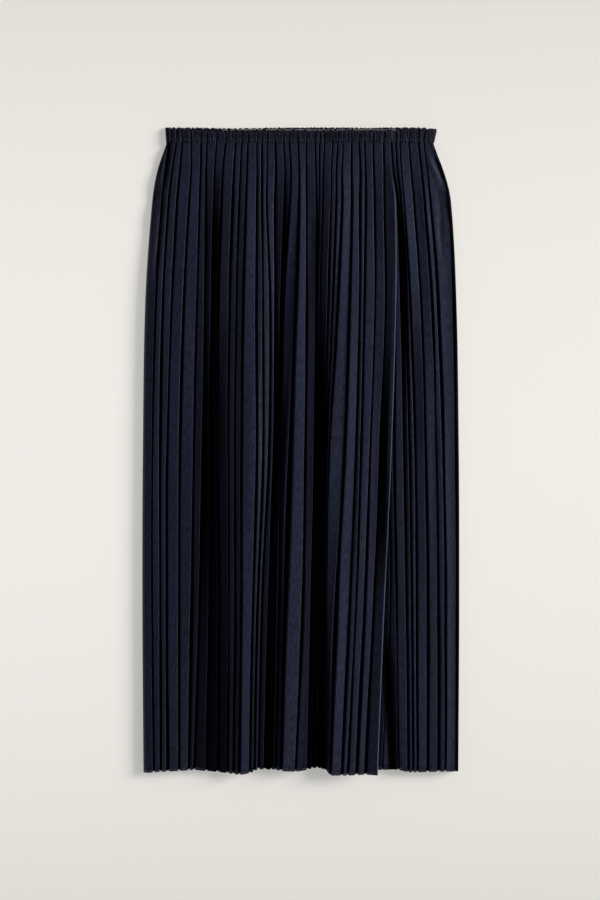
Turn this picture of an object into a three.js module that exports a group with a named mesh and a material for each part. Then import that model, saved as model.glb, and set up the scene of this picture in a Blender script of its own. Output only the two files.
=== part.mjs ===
// A pleated midi skirt with a wrap front and an elasticated waist, laid flat on its back panel.
// Millimetres. +X is the viewer's right, +Y runs from the hem to the waist, and +Z is up, away from the surface
// that the skirt lies on. The origin is on that surface, under the middle of the garment.
import * as THREE from "three";

// The garment as it lies.
const LENGTH = 800; // top of the waistband to the lowest corner of the hem
const TOP = LENGTH / 2;
const BAND_HEIGHT = 15.6; // elastic casing, from its top edge to its seam
const DEEPEST_DROP = 10.6; // the free edge hangs this far below the rest of the hem
const HEM_LINE = LENGTH - DEEPEST_DROP;
const BACK_HEM_LINE = HEM_LINE - 1;

// The cloth, and how its pieces meet. Walls are measured straight down, so a groove's flanks are half as thick.
const CLOTH = 2.2;
const CASING = 2.8; // two layers of cloth with the elastic between them
const TURNED_EDGE = 2.6; // along a free edge, where the cloth is turned under
const SEAM_GAP = 0.3;
const SIDE_SEAM_HEIGHT = 2.5; // where front and back meet at the sides, above the surface
const BAND_SEAM_HEIGHT = 4;

// The pleats. A pleat is one band of cloth between two grooves, wide (W) or narrow (n).
const PLEAT_WIDTH = { W: 11.4, n: 7 };
const PLEAT_RHYTHM = "nnWWnWWWnnW"; // one turn of the pleating machine's pattern
const BACK_REPEATS = 4;
const GROOVE_HALF_WIDTH = 1.9;
const GROOVE_SHARE = 0.3; // a groove takes at most this share of the narrower pleat beside it
const GROOVE_SLOPE = 1.85; // and is at most this many times as deep as its half width
const SEAM_CREASE_SHARE = 0.45; // pleats are shallower where the waistband holds them
const BAND_CREASE = 1.3;
const BAND_OVER_PANEL = 1; // the casing stands this much higher than the panel sewn to it
const FULL_RISE = 230; // below the top, where the large folds have opened to their full height

// Where along the length the fold tables are written, as distances below the top.
const LEVELS = { waist: 22, yoke: 53, hip: 90, seat: 214, thigh: 399, knee: 584, hem: 785 };

// The main folds of the outer front panel, from the left side seam to its free edge. A row is one groove. It gives
// the pleats between the row before it and this one, the groove's X at each level, the height of the cloth beside
// it at the waist seam and where the folds are open, how deep it is creased, and how far the hem drops there.
const OVERLAP_FOLDS = table(`
  pleats  waist   yoke    hip     seat    thigh   knee    hem     seam  open  crease drop
  -      -166.3  -176.8  -183    -191.7  -194.7  -195.4  -194.1   7    12     3.5    6.8
  W      -160.7  -166.9  -171.3  -178.3  -182.1  -182.4  -181.1   8    12.5   3.5    6
  nnW    -134.8  -134.5  -137    -143.2  -148.4  -149.6  -149.3   8.5  14     3.5    4.2
  Wn     -115    -116.2  -116.6  -117.8  -120.6  -123.7  -130.2   8.5  12.5   3.5    3.2
  WW      -92.1   -95.2   -96.8  -100.8  -102    -100.2  -101.4   8.5  11     3.5    5
  Wnn     -64.7   -65.5   -66.8   -69.9   -72.1   -72.1   -74.6   8.5  18.5   3.5    8.4
  W       -53.2   -52.9   -53.2   -54.4   -52.9   -57.9   -61.6   8.5  21.5   3.5    6.2
  nn      -40.8   -40.8   -41.2   -37.1   -38.1   -47     -51.3   8.5  15     3.5    1.8
  WWn     -13.6   -11.7   -13     -19.8   -23.5   -26     -30.3   8.5  10.8   3.5    2
  W        -2.5    -1.2    -1.2    -3.7   -10.5   -16.1   -23.5   8.5  15.5   3.5    3.8
  W         8       8       8.3     8.3     6.2     4      -4.7   8.5  20.5   3.5    4.9
  W        18.8    19.4    19.8    19.2    17.3    14.2     9.5   8.5  15     3.5    1.5
  nn       29.9    28.4    27.8    24.7    25.3    24.1    21     8.5  11     3.5    0
  Wnn      53.2    51.9    52.3    47.9    37.1    33.4    32.8  10.6  11.5   3.5    3
  WW       73.8    75.1    74.6    74.2    68.9    62.4    52.8  11    20     3.5    8.7
  nW       90.9    91.5    92.4    92.4    86.9    82.8    71.7  11    21.5   3.5    8.7
  W       103.9   104.5   104.5   105.1    98.9    90.9    82.8  11    19.5   3.5    9.5
  W       112.5   113.8   118.7   118.7   113.1   105.7    97.1  11.5  23     3.5   10.6
`);

// The same for the inner front panel, from the edge that lies hidden under the overlap to the right side seam.
const UNDERLAP_FOLDS = table(`
  pleats  waist   yoke    hip     seat    thigh   knee    hem     seam  open  crease drop
  -        64      64      65      66      63      60      56     6.5   8.6    1.5    1
  WWWn    102.6   103.9   106.3   107.6   108.8   111.3   102.6   6.5  12     1.5    2.5
  n       108.8   110.1   113.8   116.2   116.2   119     116.2   6.6  12.5   2.5    3
  W       113.1   115     119.9   124.9   128.6   131.9   133.8   8    14.5   3.5    5
  nn      124.3   126.1   129.2   136     141.8   144.1   145.9   8.5  12     3.5    4.9
  WWn     153.6   157.3   161     170.9   176.8   179.9   179.3   8.5  14.5   3.5    4.9
  W       163.2   175     182.4   187     189.5   190.5   190     8    14     2.5    4.9
  n       166.3   177.2   185.5   191.7   194.7   195.4   194.1   7    13     2.5    4.9
`);

// The back lies with its pleats pressed flat on the surface, so only its two sides need a row.
const BACK_FOLDS = table(`
  pleats  waist   yoke    hip     seat    thigh   knee    hem     seam  open  crease drop
  -      -166.3  -176.8  -183    -191.7  -194.7  -195.4  -194.1   0     0     2.2    0
  all     166.3   177.2   185.5   191.7   194.7   195.4   194.1   0     0     2.2    0
`);

// How wide the cloth rolls over at each side.
const LEFT_ROLL = 8;
const RIGHT_ROLL = 3;
const BACK_ROLL = 2.6;
const BAND_ROLL = 4;
const ROLL_ANGLES = [0, 30, 60].map((degrees) => THREE.MathUtils.degToRad(degrees));

// How far below the top the walls have a section.
const SEAM_DEPTH = BAND_HEIGHT + SEAM_GAP;
const FRONT_SECTIONS = [SEAM_DEPTH, 42, 78, 130, 205, 300, 430, 600];
const BACK_SECTIONS = [SEAM_DEPTH, 60, 125, 240, 500];

// The top edge of the waistband: it dips in the middle, more in front than behind, and the gathers flare it.
const FRONT_DIP = 5.2;
const BACK_DIP = 1.4;
const DIP_SIDE_SHARE = 0.42; // of each half of the waist, over which the edge comes down to the dip
const BAND_FLARE = 1.007;
const GATHER = 0.8; // the edge sinks this much at each groove

// Reads one of the tables above into rows with named columns.
function table(text) {
  const [names, ...rows] = text.trim().split("\n").map((line) => line.trim().split(/\s+/));
  return rows.map((row) => Object.fromEntries(row.map((cell, i) => [names[i], i === 0 ? cell : Number(cell)])));
}

function pleatsOf(row) {
  if (row.pleats === "-") return [];
  const kinds = row.pleats === "all" ? PLEAT_RHYTHM.repeat(BACK_REPEATS) : row.pleats;
  return [...kinds].map((kind) => PLEAT_WIDTH[kind]);
}

// A row's X at any depth: a smooth curve through its levels, straight on past the first and the last of them.
function acrossAt(row, depth) {
  const depths = Object.values(LEVELS);
  const places = Object.keys(LEVELS).map((name) => row[name]);
  const last = depths.length - 1;
  const slopeAt = (i) => {
    const [before, after] = [Math.max(i - 1, 0), Math.min(i + 1, last)];
    return (places[after] - places[before]) / (depths[after] - depths[before]);
  };
  if (depth <= depths[0]) return places[0] + slopeAt(0) * (depth - depths[0]);
  if (depth >= depths[last]) return places[last] + slopeAt(last) * (depth - depths[last]);
  const i = depths.findIndex((level) => level >= depth) - 1;
  const span = depths[i + 1] - depths[i];
  const t = (depth - depths[i]) / span;
  const ease = t * t * (3 - 2 * t);
  const leaving = slopeAt(i) * span * t * (1 - t) ** 2;
  const arriving = slopeAt(i + 1) * span * t ** 2 * (1 - t);
  return THREE.MathUtils.lerp(places[i], places[i + 1], ease) + leaving - arriving;
}

// Every groove of a panel at one depth. The pleats between two rows share the space by their widths.
function groovesAt(rows, depth) {
  const opened = THREE.MathUtils.smoothstep(depth, SEAM_DEPTH, FULL_RISE);
  const placed = rows.map((row) => ({
    x: acrossAt(row, depth),
    height: THREE.MathUtils.lerp(row.seam, row.open, opened),
    crease: row.crease * THREE.MathUtils.lerp(SEAM_CREASE_SHARE, 1, opened),
    drop: row.drop,
  }));
  const grooves = [placed[0]];
  for (let i = 1; i < rows.length; i += 1) {
    const widths = pleatsOf(rows[i]);
    const total = widths.reduce((sum, width) => sum + width, 0);
    let sum = 0;
    for (const width of widths) {
      sum += width;
      const between = (key) => THREE.MathUtils.lerp(placed[i - 1][key], placed[i][key], sum / total);
      grooves.push({ x: between("x"), height: between("height"), crease: between("crease"), drop: between("drop") });
    }
  }
  return grooves;
}

// The roll of cloth at a side: quarter ellipses, the inner one smaller by the wall, from the seam's level up to the
// cloth of the outermost pleat. Side is 1 for the left end and -1 for the right.
function sideRoll({ x, height, drop }, side, width, wall, seamHeight) {
  const sideWall = Math.min(wall, width / 2);
  const rise = height - seamHeight;
  return ROLL_ANGLES.map((angle) => {
    const inward = 1 - Math.cos(angle);
    return {
      x: x + side * width * inward,
      z: seamHeight + rise * Math.sin(angle),
      underX: x + side * (sideWall + (width - sideWall) * inward),
      underZ: seamHeight + (rise - wall) * Math.sin(angle),
      drop,
      groove: 0,
    };
  });
}

// A pleated wall's cross-section, left to right: each band's two corners with the bottom of a groove between bands.
// A side rolls over to its seam, and an edge without a roll ends square.
function profile(grooves, { wall, seamHeight = 0, leftRoll = 0, rightRoll = 0 }) {
  const points = [];
  const last = grooves.length - 1;
  const width = (i) => grooves[i + 1].x - grooves[i].x;
  const halfWidth = (i) => Math.min(GROOVE_HALF_WIDTH, GROOVE_SHARE * Math.min(width(i - 1), width(i)));
  const add = ({ x, height, drop }, dx, dz, thickness, groove = 0) => {
    const z = height + dz;
    points.push({ x: x + dx, z, underX: x + dx, underZ: z - thickness, drop, groove });
  };
  const left = Math.min(leftRoll, width(0) / 2);
  const right = Math.min(rightRoll, width(last - 1) / 2);
  if (left) points.push(...sideRoll(grooves[0], 1, left, wall, seamHeight));
  add(grooves[0], left, 0, left ? wall : TURNED_EDGE);
  for (let i = 1; i < last; i += 1) {
    const half = halfWidth(i);
    add(grooves[i], -half, 0, wall);
    add(grooves[i], 0, -Math.min(grooves[i].crease, GROOVE_SLOPE * half), wall, 1);
    add(grooves[i], half, 0, wall);
  }
  add(grooves[last], -right, 0, right ? wall : TURNED_EDGE);
  if (right) points.push(...sideRoll(grooves[last], -1, right, wall, seamHeight).reverse());
  return points;
}

// A closed wall through profiles that run from the waist to the hem. Each makes a ring: its upper points from left
// to right, then its under points back. A wall that faces down is the same, turned over.
function wallGeometry(profiles, facesDown) {
  const count = profiles[0].length;
  const ring = 2 * count;
  const upward = facesDown ? -1 : 1;
  const positions = [];
  const index = [];
  const triangle = (a, b, c) => index.push(a, facesDown ? c : b, facesDown ? b : c);
  const quad = (a, b, c, d) => {
    triangle(a, b, c);
    triangle(a, c, d);
  };
  for (const points of profiles) {
    for (const point of points) positions.push(point.x, point.y, upward * point.z);
    for (const point of [...points].reverse()) positions.push(point.underX, point.y, upward * point.underZ);
  }
  for (let start = 0; start + ring < profiles.length * ring; start += ring)
    for (let r = 0; r < ring; r += 1) {
      const next = (r + 1) % ring;
      quad(start + r, start + ring + r, start + ring + next, start + next);
    }
  const hem = (profiles.length - 1) * ring;
  for (let i = 0; i + 1 < count; i += 1) {
    const under = ring - 1 - i;
    quad(i, i + 1, under - 1, under);
    quad(hem + i, hem + under, hem + under - 1, hem + i + 1);
  }
  const geometry = new THREE.BufferGeometry();
  geometry.setAttribute("position", new THREE.Float32BufferAttribute(positions, 3));
  geometry.setIndex(index);
  geometry.computeVertexNormals();
  return geometry;
}

// A panel from the waist seam to its hem, where each point hangs down by its own drop.
function panelGeometry(rows, depths, hemLine, section, facesDown = false) {
  const shape = { wall: CLOTH, seamHeight: facesDown ? -SIDE_SEAM_HEIGHT : SIDE_SEAM_HEIGHT + SEAM_GAP, ...section };
  const profiles = [...depths, hemLine].map((depth) =>
    profile(groovesAt(rows, depth), shape).map((point) => ({
      ...point,
      y: TOP - depth - (depth === hemLine ? point.drop : 0),
    })),
  );
  return wallGeometry(profiles, facesDown);
}

// The waistband's grooves carry on those of the panels that show below it, so the pleats run through it.
function bandGrooves(panels, facesDown) {
  const grooves = [];
  for (const rows of panels)
    for (const groove of groovesAt(rows, SEAM_DEPTH)) {
      const last = grooves[grooves.length - 1];
      if (!last || groove.x > last.x + PLEAT_WIDTH.n / 2) grooves.push(groove);
    }
  const lift = facesDown ? 0 : BAND_OVER_PANEL;
  return grooves.map((groove) => ({ ...groove, height: groove.height + lift, crease: BAND_CREASE }));
}

function bandGeometry(panels, dip, facesDown = false) {
  const points = profile(bandGrooves(panels, facesDown), {
    wall: CASING,
    seamHeight: facesDown ? -BAND_SEAM_HEIGHT : BAND_SEAM_HEIGHT + SEAM_GAP,
    leftRoll: BAND_ROLL,
    rightRoll: BAND_ROLL,
  });
  const halfWaist = points[points.length - 1].x;
  const topDepth = (point) => {
    const fromSide = 1 - Math.abs(point.x) / halfWaist;
    const dipped = THREE.MathUtils.smoothstep(fromSide, 0, DIP_SIDE_SHARE);
    return (dip + GATHER * point.groove) * dipped;
  };
  const topEdge = points.map((point) => ({
    ...point,
    x: point.x * BAND_FLARE,
    underX: point.underX * BAND_FLARE,
    y: TOP - topDepth(point),
  }));
  const seam = points.map((point) => ({ ...point, y: TOP - BAND_HEIGHT }));
  return wallGeometry([topEdge, seam], facesDown);
}

// The pieces, in one navy cloth.
const panelCloth = new THREE.MeshStandardMaterial({ color: 0x22263c, roughness: 0.7, metalness: 0 });
const casingCloth = new THREE.MeshStandardMaterial({ color: 0x1f2336, roughness: 0.75, metalness: 0 });
const backSection = { leftRoll: BACK_ROLL, rightRoll: BACK_ROLL };
const pieces = {
  front_overlap: [panelGeometry(OVERLAP_FOLDS, FRONT_SECTIONS, HEM_LINE, { leftRoll: LEFT_ROLL }), panelCloth],
  front_underlap: [panelGeometry(UNDERLAP_FOLDS, FRONT_SECTIONS, HEM_LINE, { rightRoll: RIGHT_ROLL }), panelCloth],
  back_panel: [panelGeometry(BACK_FOLDS, BACK_SECTIONS, BACK_HEM_LINE, backSection, true), panelCloth],
  waistband_front: [bandGeometry([OVERLAP_FOLDS, UNDERLAP_FOLDS], FRONT_DIP), casingCloth],
  waistband_back: [bandGeometry([BACK_FOLDS], BACK_DIP, true), casingCloth],
};

const skirt = new THREE.Group();
skirt.name = "pleated_midi_skirt";
for (const [name, [geometry, material]] of Object.entries(pieces)) {
  const mesh = new THREE.Mesh(geometry, material);
  mesh.name = name;
  skirt.add(mesh);
}

export default skirt;
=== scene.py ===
# %% [markdown]
# This lesson dresses a pleated midi skirt with a wrap front, laid flat on its back. Its rigid construction
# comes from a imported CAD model, which is the frame: it says where each panel lies. Blender adds what the
# eye reads as cloth, that is thin pleated shells, gathers, stitches and a woven material.

import bpy
import numpy as np
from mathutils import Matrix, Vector


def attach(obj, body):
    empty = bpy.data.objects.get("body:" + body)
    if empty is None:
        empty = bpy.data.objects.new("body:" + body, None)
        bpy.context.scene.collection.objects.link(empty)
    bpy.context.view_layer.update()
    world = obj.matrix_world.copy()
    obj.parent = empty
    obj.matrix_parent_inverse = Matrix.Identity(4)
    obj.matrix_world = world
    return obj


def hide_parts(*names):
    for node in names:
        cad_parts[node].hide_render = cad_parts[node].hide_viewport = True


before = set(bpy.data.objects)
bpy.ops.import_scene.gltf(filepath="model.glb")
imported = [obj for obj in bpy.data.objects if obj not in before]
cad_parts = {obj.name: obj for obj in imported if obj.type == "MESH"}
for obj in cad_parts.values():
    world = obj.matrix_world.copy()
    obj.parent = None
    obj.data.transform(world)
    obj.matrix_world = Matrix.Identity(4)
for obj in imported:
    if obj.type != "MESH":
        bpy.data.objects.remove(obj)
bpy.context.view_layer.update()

MM = 0.001
print("frame nodes:", sorted(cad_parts))

# %% [markdown]
# Every panel of a pleated skirt is one sheet with a few large folds and many small pleats. Typing each
# pleat would be long and hard to change, so each panel has a table of its large folds, one row for each,
# and the pleats between two rows are shared out by their widths. A row gives the pleats before the fold,
# wide (W) or narrow (n), its X at seven levels down the length, the height of the cloth at the waist and
# where the folds have opened, how deep the pleats are creased there, and how far the hem hangs. A dash
# stands for the panel's first edge. These and all other lengths are real millimetres, measured as in the
# frame, and MM turns them into Blender's metres.

# %% Sizes and the reading of tables
LENGTH = 800
TOP = LENGTH / 2
LEVEL_DEPTHS = np.array([22, 53, 90, 214, 399, 584, 785])
PLEAT_RHYTHM = "nnWWnWWWnnW"
BACK_REPEATS = 4


def table(text):
    """The numbers of a table, one row for each of its lines."""
    return np.array([line.split() for line in text.strip().splitlines()], float)


def read_folds(text):
    """Splits a table into the pleats of each row, its X at the seven levels, and its other columns."""
    rows = [line.split() for line in text.strip().splitlines()]
    numbers = np.array([row[1:] for row in rows], float)
    pleats = [PLEAT_RHYTHM * BACK_REPEATS if row[0] == "all" else row[0].strip("-") for row in rows]
    levels = len(LEVEL_DEPTHS)
    names = ("seam", "open", "groove", "drop")
    columns = {name: numbers[:, levels + i] for i, name in enumerate(names)}
    return {"pleats": pleats, "levels": numbers[:, :levels], **columns}


def smooth(t):
    """A soft step: 3t^2 - 2t^3, held at 0 and 1 outside."""
    t = np.clip(t, 0, 1)
    return t * t * (3 - 2 * t)


# %% [markdown]
# A fold is a smooth curve down the skirt. A Bezier curve object could hold each one, but a hundred of them
# are hard to edit together. A Hermite curve through the table's levels gives all folds at all depths in one
# array, and each pleat's groove then lies between two folds, by its share of the pleats' widths.

# %% Curves of the folds and grooves
SEAM_DEPTH = 15.9  # where the waistband is sewn on
FULL_RISE = 230  # depth at which the folds have opened
SEAM_SHARE = 0.5  # of a groove's depth is left at the seam
PLEAT_WIDTH = {"W": 11.4, "n": 7}


def across(levels, depths):
    """X of each row at each depth: Hermite curves whose slope at a level is that of the line through its
    neighbours, and straight lines past the ends."""
    slopes = np.empty_like(levels)
    slopes[:, 1:-1] = (levels[:, 2:] - levels[:, :-2]) / (LEVEL_DEPTHS[2:] - LEVEL_DEPTHS[:-2])
    slopes[:, 0] = (levels[:, 1] - levels[:, 0]) / (LEVEL_DEPTHS[1] - LEVEL_DEPTHS[0])
    slopes[:, -1] = (levels[:, -1] - levels[:, -2]) / (LEVEL_DEPTHS[-1] - LEVEL_DEPTHS[-2])
    i = np.clip(np.searchsorted(LEVEL_DEPTHS, depths) - 1, 0, len(LEVEL_DEPTHS) - 2)
    span = (LEVEL_DEPTHS[i + 1] - LEVEL_DEPTHS[i])[:, None]
    t = (depths - LEVEL_DEPTHS[i])[:, None] / span
    a, b = levels[:, i].T, levels[:, i + 1].T
    m, n = slopes[:, i].T * span, slopes[:, i + 1].T * span
    inside = a + (b - a) * t * t * (3 - 2 * t) + m * t * (1 - t) ** 2 - n * t * t * (1 - t)
    return np.where(t < 0, a + m * t, np.where(t > 1, b + n * (t - 1), inside))


def grooves_of(folds, depths):
    """Every groove of a panel, one column for each: its X, its height and its crease at each depth, and its
    drop. A groove between two folds takes row * (1 - share) + next row * share, by its share of the pleats'
    widths."""
    opened = smooth((depths - SEAM_DEPTH) / (FULL_RISE - SEAM_DEPTH))[:, None]
    x = across(folds["levels"], depths)
    height = folds["seam"] + (folds["open"] - folds["seam"]) * opened
    crease = folds["groove"] * (SEAM_SHARE + (1 - SEAM_SHARE) * opened)
    row_of, share = [0], [0.0]
    for row, pleats in enumerate(folds["pleats"][1:]):
        widths = np.cumsum([PLEAT_WIDTH[kind] for kind in pleats])
        row_of += [row] * len(widths)
        share += list(widths / widths[-1])
    row_of, share = np.array(row_of), np.array(share)

    def spread(values):
        return values[..., row_of] * (1 - share) + values[..., row_of + 1] * share

    return {"x": spread(x), "height": spread(height), "crease": spread(crease), "drop": spread(folds["drop"])}


# %% [markdown]
# A heat-set pleat is a flat band, and its pressing is never even: each leans its own way and strays a little
# from its line. Noise on every point would look crushed, so lines stray by slow sines. How each band leans is
# what the eye sees first, so a table of turns says it: the degrees that each pleat faces to the right, where
# the light is, at four depths. A pleat below zero faces away from the light; past -15 its colour also takes
# painted shade, and near -38 it is painted fully dark.

# %% Uneven pressing
TURN_DEPTHS = np.array([16, 152, 399, 708])
TURN_SPREAD = 3
TURN_WANDER = 2
WANDER_WAVES = np.array([1.0, 2.3, 4.1])


def wander(depths, count, size, rng):
    """Slow drift down the length, one column for each groove: the sum of three sines with random phases."""
    shape = (len(WANDER_WAVES), count)
    phase = rng.uniform(0, 2 * np.pi, shape)
    sizes = rng.normal(0, size, shape) / WANDER_WAVES[:, None]
    angle = depths[:, None, None] / LENGTH * 2 * np.pi * WANDER_WAVES[:, None]
    return (sizes * np.sin(angle + phase)).sum(1)


def turns_at(turns, depths, rng):
    """Degrees that each pleat faces to the right at each depth: the table's depths joined by soft steps,
    plus a normal spread and a slow drift of its own for each pleat."""
    count = turns.shape[1]
    i = np.clip(np.searchsorted(TURN_DEPTHS, depths) - 1, 0, len(TURN_DEPTHS) - 2)
    t = smooth((depths - TURN_DEPTHS[i]) / (TURN_DEPTHS[i + 1] - TURN_DEPTHS[i]))[:, None]
    spread = rng.normal(0, TURN_SPREAD, count)
    drift = wander(depths, count, TURN_WANDER, rng)
    return turns[i] * (1 - t) + turns[i + 1] * t + spread + drift


# %% [markdown]
# Between two bands the cloth dives into a narrow slot with tight shoulders. Subdivision would round the
# shoulders away, so the profile has more columns of points close to each groove and few on the band. Most
# slots stay thin lines, and a few gape where the skirt was spread, which a list of gapes widens over a part
# of their length.

# %% Slots between the pleats
GROOVE_HALF = 1.75
GROOVE_CHANGE = 0.25
LEAST_HALF = 0.9
GROOVE_SHARE = 0.27  # of the narrower pleat beside it is the most that half a slot takes
SLOT_SPARE = 0.0175
WAIST_SHARE = 0.62  # of a slot's width is left at the waist
WAIST_FADE = 110
NEAR_GROOVE = np.array([0, 0.45, 0.68, 0.84, 1.05, 1.5])  # beside a groove, in half widths of its slot
NEAR_NEXT = NEAR_GROOVE[:0:-1]  # the same on a band's right side, without the groove's own column
SLOT_EDGE = 0.74
SHOULDER_EDGE = 1.0
SLOT_SHARPNESS = 14


def notch(a, edge=SLOT_EDGE):
    """The groove's profile, 1 at its bottom and 0 on the bands: 1 / (1 + (a / edge)^sharpness)."""
    return 1 / (1 + (np.abs(a) / edge) ** SLOT_SHARPNESS)


def slot_halves(width, depths, gapes, rng):
    """Half of each slot's width, and how far it gapes. The half strays down the length, narrows towards the
    waist and stays within a share of the narrower pleat beside it. A gape then widens it by extra *
    exp(-((depth - middle) / reach)^2)."""
    half = GROOVE_HALF * (1 + wander(depths, width.shape[1] + 1, GROOVE_CHANGE, rng))
    half *= WAIST_SHARE + (1 - WAIST_SHARE) * smooth((depths - SEAM_DEPTH) / WAIST_FADE)[:, None]
    beside = np.column_stack([width[:, :1], width, width[:, -1:]])
    narrower = np.minimum(beside[:, :-1], beside[:, 1:])
    gape = np.zeros_like(half)
    for groove, middle, reach, extra in gapes:
        gape[:, groove] = extra * np.exp(-((depths - middle) / reach) ** 2)
    return np.clip(half, LEAST_HALF, GROOVE_SHARE * narrower + SLOT_SPARE) * (1 + gape), gape


def columns_of(x, half, band_columns):
    """X of each pleat's columns: groove + NEAR_GROOVE * half on its left, next groove - NEAR_NEXT * half on
    its right, and a few evenly spaced over the band between them."""
    near_left = x[:, :-1, None] + NEAR_GROOVE * half[:, :-1, None]
    near_right = x[:, 1:, None] - NEAR_NEXT * half[:, 1:, None]
    between = np.linspace(0, 1, band_columns + 2)[1:-1]
    band = near_left[:, :, -1:] + (near_right[:, :, :1] - near_left[:, :, -1:]) * between
    return np.concatenate([near_left, band, near_right], axis=2)


def by_grooves(left, right, band_columns):
    """One value for each column of a pleat: left by its left groove, right by its right one, 0 between."""
    left, right = left * np.ones(len(NEAR_GROOVE)), right * np.ones(len(NEAR_NEXT))
    return np.concatenate([left, np.zeros(band_columns), right])


# %% [markdown]
# The panel is then one surface: the height of its large folds, less the slots, plus the crown and tilt of
# each band. A displacement modifier could raise a flat grid, but it can't make the walls of a slot steep.
# Three layers of numbers go with the points, for the material. The first is painted shade in and beside each
# slot. The second is painted shade on a pleat that faces away from the light, growing across a band towards a
# darker pleat on its right. The third is the tone: a random tint of the dye, plus painted light, a shift of
# colour by how far the pleat faces the light. Where a slot gapes, its left lip is raised a little and left
# out of the painted shade, because it catches the light.

# %% The pleated sheet
WANDER = 0.35
LEAN = 0.5  # how far a slot's walls lean to the left
CROWN = 0.05
FOLLOW = 0.3  # how much a band follows the slope of its large fold
MOST_FALL = 4.2  # from a band's left side to its right
TURN_OPENS = 60  # depth below the seam over which the bands take their tilt
# Painted shade of a pleat: it starts SHADE_FROM degrees away from the light and is full SHADE_SPAN degrees
# further, and a band also takes NEXT_SHADE of the painted shade of the pleat on its right.
SHADE_FROM = 15  # degrees away from the light
SHADE_SPAN = 23
NEXT_SHADE = 0.6  # of the shade of the pleat at the right falls on a band
LIP_SHAPE = np.array([0.5, 1.0, 0.6, 0.0, 0.0])
LIP_RISE = 1.3
# Tone of a pleat: MID_TONE plus a random tint of the dye, and a shift for each degree that it faces the
# light, which is painted light.
MID_TONE = 0.45
PAINTED_LIGHT_PER_DEGREE = 0.018
TINT_SPREAD = 0.22
HEM_NICK = 0.5  # how far the hem steps back in a slot
NICK_FROM = 0.985  # of the length
DROP_POWER = 4  # so that the hem's hanging shows only low down
ROLL_COLUMNS = 8


def pleated_sheet(folds, turns, depths, seed, left_roll=0, right_roll=0, seam_height=2.8, band_columns=2,
                  gapes=()):
    """Points of a pleated panel, rows down its length and columns across, in millimetres with Z up, and its
    layers. Z = height of the large folds - groove depth * notch + crown * (1 - s^2) - width * tan(turn) * s /
    2, with s from -1 to 1 over a band. The painted shade is a soft step of the turn away from the light, and
    the tone, with its painted light, falls as the turn grows."""
    rng = np.random.default_rng(seed)
    grooves = grooves_of(folds, depths)
    x = grooves["x"].copy()
    seams = x[:, 0].copy(), x[:, -1].copy()
    x[:, 1:-1] += wander(depths, x.shape[1] - 2, WANDER, rng)
    x[:, 0] += left_roll
    x[:, -1] -= right_roll
    width = np.diff(x, axis=1)
    turn = turns_at(turns, depths, rng)
    half, gape = slot_halves(width, depths, gapes, rng)
    across_x = columns_of(x, half, band_columns)
    share = (across_x - x[:, :-1, None]) / width[:, :, None]

    slot_left = by_grooves(notch(NEAR_GROOVE), 0, band_columns)
    slot_right = by_grooves(0, notch(NEAR_NEXT), band_columns)
    shoulder = by_grooves(0, notch(NEAR_NEXT, SHOULDER_EDGE), band_columns)
    gaping = np.clip(gape[:, 1:, None], 0, 1)
    lip = by_grooves(0, 1, band_columns) * gaping
    bead = LIP_RISE * by_grooves(0, LIP_SHAPE, band_columns) * gaping
    crease = grooves["crease"][:, :, None]
    deep = crease[:, :-1] * slot_left + crease[:, 1:] * slot_right
    slot = (slot_left + slot_right) * (deep > 0)
    # Painted shade in each slot and on the shoulder beside it; a gaping lip keeps only the slot's own.
    dark = (slot_left + shoulder * (1 - lip) + slot_right * lip) * (deep > 0)

    height = grooves["height"][:, :, None]
    level = (height[:, :-1] + height[:, 1:]) / 2 + FOLLOW * (height[:, 1:] - height[:, :-1]) * (share - 0.5)
    opened = smooth((depths - SEAM_DEPTH) / TURN_OPENS)[:, None, None]
    fall = np.clip(np.tan(np.radians(turn)) * width, -MOST_FALL, MOST_FALL)[:, :, None]
    shaped = CROWN * (1 - (2 * share - 1) ** 2) - fall * (share - 0.5)
    last = level[:, -1, -1] - fall[:, -1, 0] * opened[:, 0, 0] / 2

    # Painted shade: a pleat turned away from the light is painted darker, and a band is painted darker
    # towards a darker pleat on its right.
    shade = smooth((-turn - SHADE_FROM) / SHADE_SPAN)
    painted_shade_from_right = np.maximum(shade, NEXT_SHADE * np.column_stack([shade[:, 1:], shade[:, -1]]))
    painted_shade_across = shade[:, :, None] + (painted_shade_from_right - shade)[:, :, None] * share ** 2
    # Tone: a random tint of the dye, plus painted light, a colour shift with the turn towards the light.
    tint = rng.uniform(-TINT_SPREAD, TINT_SPREAD, turn.shape[1])
    tone = (MID_TONE - PAINTED_LIGHT_PER_DEGREE * turn + tint)[:, :, None] + 0 * share
    drop = grooves["drop"]

    def sheet_of(values, end):
        return np.column_stack([values.reshape(len(depths), -1), end])

    layers = {
        "x": sheet_of(across_x - LEAN * slot, x[:, -1]),
        "z": sheet_of(level - deep + shaped * opened * (1 - slot) + bead, last),
        "fold": sheet_of(dark, 0 * last),
        "slot": sheet_of(slot, 0 * last),
        "shade": sheet_of(painted_shade_across * (1 - lip), shade[:, -1]),
        "tone": sheet_of(tone, 0 * last),
        "drop": sheet_of(drop[:-1, None] * (1 - share) + drop[1:, None] * share, drop[-1] + 0 * last),
    }
    if left_roll:
        layers = side_roll(layers, seams[0], left_roll, seam_height, 1)
    if right_roll:
        layers = side_roll(layers, seams[1], right_roll, seam_height, -1)
    down = (depths / depths[-1])[:, None]
    nick = HEM_NICK * layers["slot"] * smooth((down - NICK_FROM) / (1 - NICK_FROM))
    y = TOP - depths[:, None] - layers["drop"] * down ** DROP_POWER + nick
    points = np.stack([layers["x"], y, layers["z"]], axis=2)
    return points, {key: layers[key] for key in ("fold", "shade", "tone")}


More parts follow.
